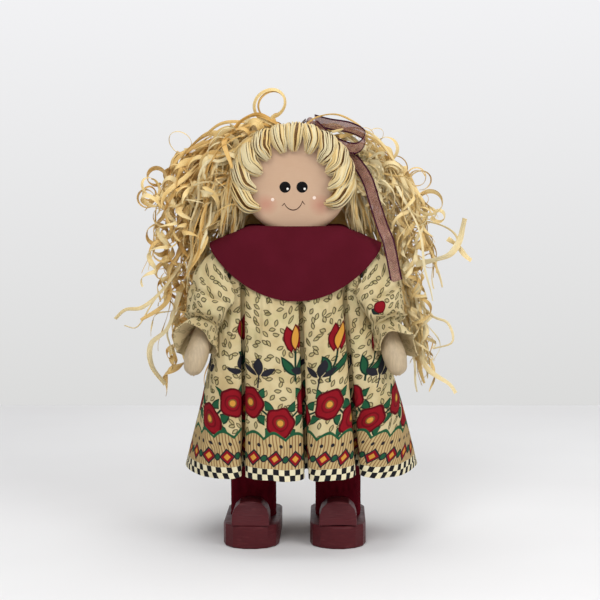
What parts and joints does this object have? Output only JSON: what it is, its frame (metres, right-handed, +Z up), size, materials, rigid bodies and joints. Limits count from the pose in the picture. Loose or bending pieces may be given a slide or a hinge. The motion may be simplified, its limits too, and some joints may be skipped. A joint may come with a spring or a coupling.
{
  "type": "wooden doll",
  "caption": "Folk-art wooden doll with looped raffia hair, cape collar, gathered print dress, stockinged dowel legs, block shoes and swinging arms.",
  "frame": {"origin": "on the floor, midway between the two shoes, under the middle of the torso", "axes": "+Z up; the doll faces -Y; +X is on the viewer's right as seen from in front"},
  "size_m": [0.2764, 0.1278, 0.3759],
  "materials": {
    "pine": "bare planed pine",
    "face_paint": "flesh-coloured satin paint on pine",
    "hand_wood": "pale sanded and sealed wood",
    "shoe_paint": "brushed burgundy paint, satin",
    "steel": "zinc-plated screws and washers",
    "velvet": "dark burgundy velvet stocking",
    "print": "cream printed cotton",
    "burgundy": "plain burgundy cotton",
    "raffia": "natural raffia straw",
    "organza": "sheer mauve organza with plum edges"
  },
  "bodies": {
    "doll": {"torso_block": "pine", "neck_dowel": "pine", "head": "face_paint", "dress_front": "print", "dress_back": "print", "collar": "burgundy", "hair_back": "raffia", "crown_loop": "raffia", "leg_left": "pine", "stocking_left": "velvet", "hip_dowel_left": "pine", "sole_left": "shoe_paint", "toe_block_left": "shoe_paint", "shoe_screw_left": "steel", "shoulder_screw_left": "steel", "shoulder_washer_left": "steel", "lock_crown_left": "raffia", "lock_temple_left": "raffia", "lock_ear_left": "raffia", "lock_shoulder_left": "raffia", "lock_nape_left": "raffia", "leg_right": "pine", "stocking_right": "velvet", "hip_dowel_right": "pine", "sole_right": "shoe_paint", "toe_block_right": "shoe_paint", "shoe_screw_right": "steel", "shoulder_screw_right": "steel", "shoulder_washer_right": "steel", "lock_crown_right": "raffia", "lock_temple_right": "raffia", "lock_ear_right": "raffia", "lock_shoulder_right": "raffia", "lock_nape_right": "raffia", "bang_1": "raffia", "bang_2": "raffia", "bang_3": "raffia", "bang_4": "raffia", "bang_5": "raffia", "bang_6": "raffia", "bang_7": "raffia", "bang_8": "raffia", "bang_9": "raffia", "bang_10": "raffia", "bang_11": "raffia", "ribbon_knot": "organza", "ribbon_loop_left": "organza", "ribbon_loop_right": "organza", "ribbon_tail_front": "organza", "ribbon_tail_back": "organza"},
    "arm_left": {"arm_left": "pine", "hand_left": "hand_wood", "sleeve_left": "print"},
    "arm_right": {"arm_right": "pine", "hand_right": "hand_wood", "sleeve_right": "print"}
  },
  "joints": [
    {"name": "arm_left_swing", "type": "hinge", "parent": "doll", "child": "arm_left", "pos_m": [-0.0626, -0.002, 0.2266], "axis": [-1, 0, 0], "range_deg": [0, 40]},
    {"name": "arm_right_swing", "type": "hinge", "parent": "doll", "child": "arm_right", "pos_m": [0.0626, -0.002, 0.2266], "axis": [-1, 0, 0], "range_deg": [0, 40], "deforming": ["ribbon_tail_front"]}
  ]
}
